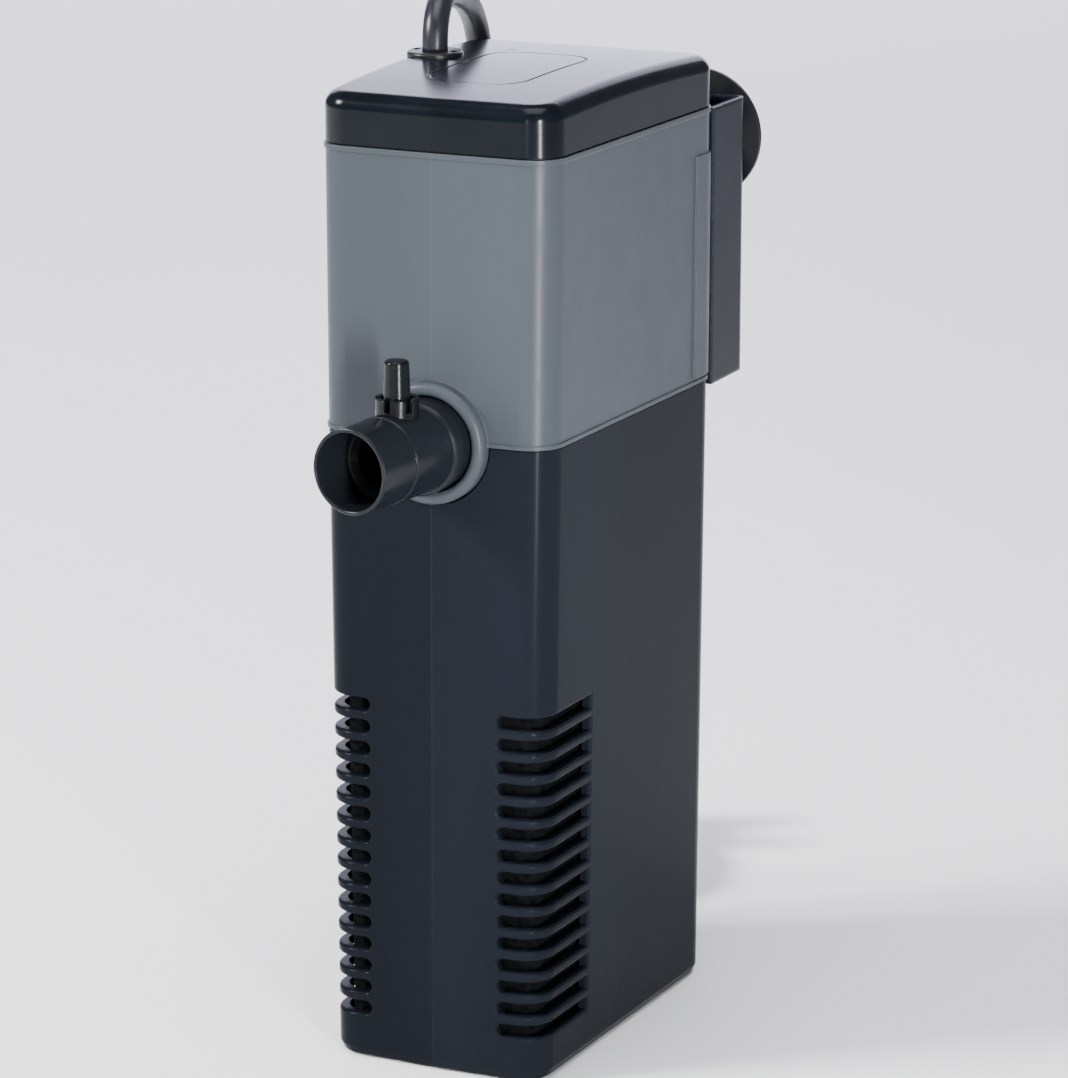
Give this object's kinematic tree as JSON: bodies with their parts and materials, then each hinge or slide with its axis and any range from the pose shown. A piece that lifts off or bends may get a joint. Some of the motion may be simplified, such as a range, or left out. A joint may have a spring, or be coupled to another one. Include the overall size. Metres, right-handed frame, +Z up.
{
  "type": "internal power filter",
  "caption": "Submersible aquarium filter with a slotted sponge canister, a pump head with a swivelling outlet nozzle, and a slide-on suction-cup holder.",
  "frame": {"origin": "centre of the canister's base face", "axes": "+Z up the casing, -Y the front, where the outlet nozzle points, +X to the right seen from the front"},
  "size_m": [0.1106, 0.2125, 0.2335],
  "materials": {
    "canister_plastic": "satin",
    "foam_coarse": "open foam",
    "foam_fine": "open foam",
    "cord_rubber": "satin",
    "tie_plastic": "matte",
    "plug_rubber": "matte",
    "pin_metal": "satin",
    "casing_plastic": "satin",
    "lid_gloss": "polished",
    "seal_rubber": "matte",
    "grommet_rubber": "satin",
    "inner_plastic": "satin",
    "lamination_steel": "stacked sheet",
    "copper_wire": "enamelled wire",
    "resin": "cast",
    "screw_steel": "satin",
    "shaft_ceramic": "ground ceramic",
    "magnet": "sintered",
    "impeller_plastic": "satin",
    "nozzle_plastic": "satin",
    "peg_plastic": "polished",
    "holder_plastic": "satin",
    "cup_rubber": "satin"
  },
  "bodies": {
    "canister": {"canister_shell": "canister_plastic", "sponge_coarse": "foam_coarse", "sponge_fine": "foam_fine", "cord_coil": "cord_rubber", "cord_tie": "tie_plastic", "cord_tail": "cord_rubber", "plug_body": "plug_rubber", "plug_pins": "pin_metal"},
    "pump_head": {"head_casing": "casing_plastic", "lid": "lid_gloss", "lid_gasket": "seal_rubber", "cord_grommet": "grommet_rubber", "motor_can": "inner_plastic", "stator_core": "lamination_steel", "winding_left": "copper_wire", "winding_right": "copper_wire", "potting_resin": "resin", "volute_housing": "inner_plastic", "motor_screws": "screw_steel", "impeller_cover": "inner_plastic", "lower_bush": "seal_rubber", "upper_bush": "seal_rubber", "rotor_shaft": "shaft_ceramic", "intake_strainer": "inner_plastic", "cord_lead": "cord_rubber"},
    "rotor": {"rotor_magnet": "magnet", "rotor_sleeve": "impeller_plastic", "impeller": "impeller_plastic"},
    "nozzle": {"outlet_nozzle": "nozzle_plastic", "nozzle_seal": "seal_rubber", "venturi_throat": "nozzle_plastic", "air_collar": "peg_plastic"},
    "air_valve": {"air_peg": "peg_plastic"},
    "holder": {"holder_bracket": "holder_plastic", "suction_cup_left": "cup_rubber", "suction_cup_right": "cup_rubber"}
  },
  "joints": [
    {"name": "head_lift", "type": "slide", "parent": "canister", "child": "pump_head", "axis": [0, 0, 1], "range_m": [0, 0.06]},
    {"name": "rotor_spin", "type": "hinge", "parent": "pump_head", "child": "rotor", "pos_m": [0, 0, 0.17], "axis": [0, 0, 1], "continuous": true},
    {"name": "nozzle_swivel", "type": "hinge", "parent": "pump_head", "child": "nozzle", "pos_m": [0, -0.044, 0.14365], "axis": [0, -1, 0], "range_deg": [-90, 90]},
    {"name": "air_valve_turn", "type": "hinge", "parent": "nozzle", "child": "air_valve", "pos_m": [-0.001, -0.0575, 0.158], "axis": [0, 0, 1], "range_deg": [0, 90]},
    {"name": "holder_slide", "type": "slide", "parent": "pump_head", "child": "holder", "axis": [0, 0, 1], "range_m": [-0.055, 0]}
  ]
}
